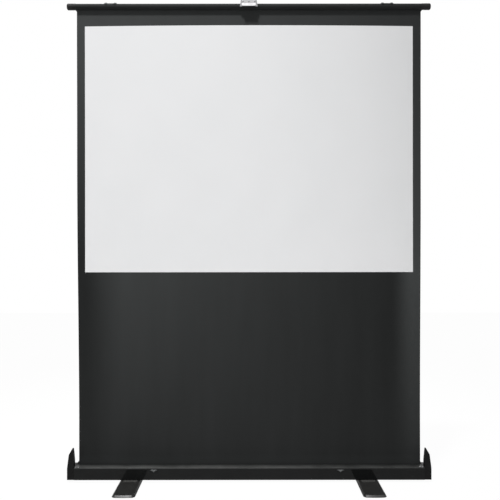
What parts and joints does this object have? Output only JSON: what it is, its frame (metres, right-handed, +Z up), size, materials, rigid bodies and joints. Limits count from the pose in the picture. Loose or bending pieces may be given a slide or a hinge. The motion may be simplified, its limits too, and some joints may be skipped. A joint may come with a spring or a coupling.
{
  "type": "pull-up floor projection screen",
  "caption": "Pull-up projection screen: white fabric with a black border on a spring roller in a low floor case with swivel feet, its top bar held up by folding arms.",
  "frame": {"origin": "on the floor, under the middle of the case, on the line through both foot bolts", "axes": "+X to the viewer's right along the case, +Y to the rear (the white side faces -Y), +Z up"},
  "size_m": [1.7626, 0.542, 2.3298],
  "materials": {
    "case_gloss_black": "black gloss lacquer on aluminium extrusion",
    "moulded_black": "moulded black, fine grain",
    "bar_satin_black": "satin black anodised extrusion",
    "arm_black": "black anodised, drawn",
    "foot_black": "black powder coat on pressed steel",
    "rubber": "matte",
    "black_cloth": "woven black backing and border",
    "white_cloth": "matte white projection coating",
    "bright_steel": "zinc plated",
    "grey_steel": "dark zinc plated pressed steel",
    "chrome": "polished",
    "tube_aluminium": "drawn, mill finish"
  },
  "bodies": {
    "case": {"case_base": "case_gloss_black", "case_front_cover": "case_gloss_black", "roller_spring_arbor": "bright_steel", "roller_axle": "bright_steel", "screen_fabric": "black_cloth", "projection_surface": "white_cloth", "left_end_cap": "moulded_black", "left_cap_screw_1": "chrome", "left_cap_screw_2": "chrome", "left_arm_base": "grey_steel", "left_base_pin": "bright_steel", "left_foot_bracket": "grey_steel", "left_foot_bolt": "bright_steel", "right_end_cap": "moulded_black", "right_cap_screw_1": "chrome", "right_cap_screw_2": "chrome", "right_arm_base": "grey_steel", "right_base_pin": "bright_steel", "right_foot_bracket": "grey_steel", "right_foot_bolt": "bright_steel"},
    "roller": {"roller_tube": "tube_aluminium", "fabric_wound_tail": "black_cloth", "roller_plug_left": "moulded_black", "roller_plug_right": "moulded_black", "roller_spring": "grey_steel"},
    "left_lower": {"left_lower_arm": "arm_black", "left_elbow_cover": "moulded_black", "left_elbow_spring": "grey_steel"},
    "left_upper": {"left_upper_arm": "arm_black", "left_elbow_pin": "bright_steel"},
    "right_lower": {"right_lower_arm": "arm_black", "right_elbow_cover": "moulded_black", "right_elbow_spring": "grey_steel"},
    "right_upper": {"right_upper_arm": "arm_black", "right_elbow_pin": "bright_steel"},
    "top": {"top_bar": "bar_satin_black", "fabric_rod": "bright_steel", "handle_saddle": "moulded_black", "handle_grip": "chrome", "handle_rivet_1": "grey_steel", "handle_rivet_2": "grey_steel", "handle_rivet_3": "grey_steel", "left_bar_knob": "moulded_black", "left_arm_hanger": "grey_steel", "left_top_pin": "bright_steel", "left_bar_strap": "grey_steel", "left_hanger_rivet": "bright_steel", "right_bar_knob": "moulded_black", "right_arm_hanger": "grey_steel", "right_top_pin": "bright_steel", "right_bar_strap": "grey_steel", "right_hanger_rivet": "bright_steel"},
    "left_foot": {"left_foot": "foot_black", "left_foot_pad_front": "rubber", "left_foot_pad_rear": "rubber"},
    "right_foot": {"right_foot": "foot_black", "right_foot_pad_front": "rubber", "right_foot_pad_rear": "rubber"},
    "left_catch": {"left_wing_catch": "grey_steel"},
    "right_catch": {"right_wing_catch": "grey_steel"}
  },
  "joints": [
    {"name": "lift", "type": "hinge", "parent": "case", "child": "left_lower", "pos_m": [-0.67, 0.0127, 0.04303], "axis": [0, 1, 0], "range_deg": [0, 63.5], "deforming": ["screen_fabric", "projection_surface"]},
    {"name": "left_elbow", "type": "hinge", "parent": "left_lower", "child": "left_upper", "pos_m": [-0.12031, 0.0176, 1.14552], "axis": [0, 1, 0], "range_deg": [-127, 0]},
    {"name": "bar_level", "type": "hinge", "parent": "left_upper", "child": "top", "pos_m": [-0.67, 0.0246, 2.24803], "axis": [0, 1, 0], "range_deg": [0, 63.5]},
    {"name": "right_shoulder", "type": "hinge", "parent": "case", "child": "right_lower", "pos_m": [0.67, 0.0489, 0.04303], "axis": [0, 1, 0], "range_deg": [-63.5, 0]},
    {"name": "right_elbow", "type": "hinge", "parent": "right_lower", "child": "right_upper", "pos_m": [0.12031, 0.044, 1.14552], "axis": [0, 1, 0], "range_deg": [0, 127]},
    {"name": "roller_turn", "type": "hinge", "parent": "case", "child": "roller", "pos_m": [0, -0.02765, 0.04303], "axis": [1, 0, 0], "range_deg": [-5760, 0]},
    {"name": "left_foot_swing", "type": "hinge", "parent": "case", "child": "left_foot", "pos_m": [-0.567, 0, 0.007], "axis": [0, 0, 1], "range_deg": [0, 90]},
    {"name": "right_foot_swing", "type": "hinge", "parent": "case", "child": "right_foot", "pos_m": [0.567, 0, 0.007], "axis": [0, 0, 1], "range_deg": [-90, 0]},
    {"name": "left_catch_turn", "type": "hinge", "parent": "case", "child": "left_catch", "pos_m": [-0.457, -0.0643, 0.05855], "axis": [0, 1, 0], "range_deg": [0, 90]},
    {"name": "right_catch_turn", "type": "hinge", "parent": "case", "child": "right_catch", "pos_m": [0.436, -0.0643, 0.05855], "axis": [0, 1, 0], "range_deg": [-90, 0]}
  ],
  "couplings": [
    {"joint": "left_elbow", "follows": "lift", "ratio": -2},
    {"joint": "bar_level", "follows": "lift", "ratio": 1},
    {"joint": "right_shoulder", "follows": "lift", "ratio": -1},
    {"joint": "right_elbow", "follows": "lift", "ratio": 2},
    {"joint": "roller_turn", "follows": "lift", "ratio": -90.7}
  ]
}
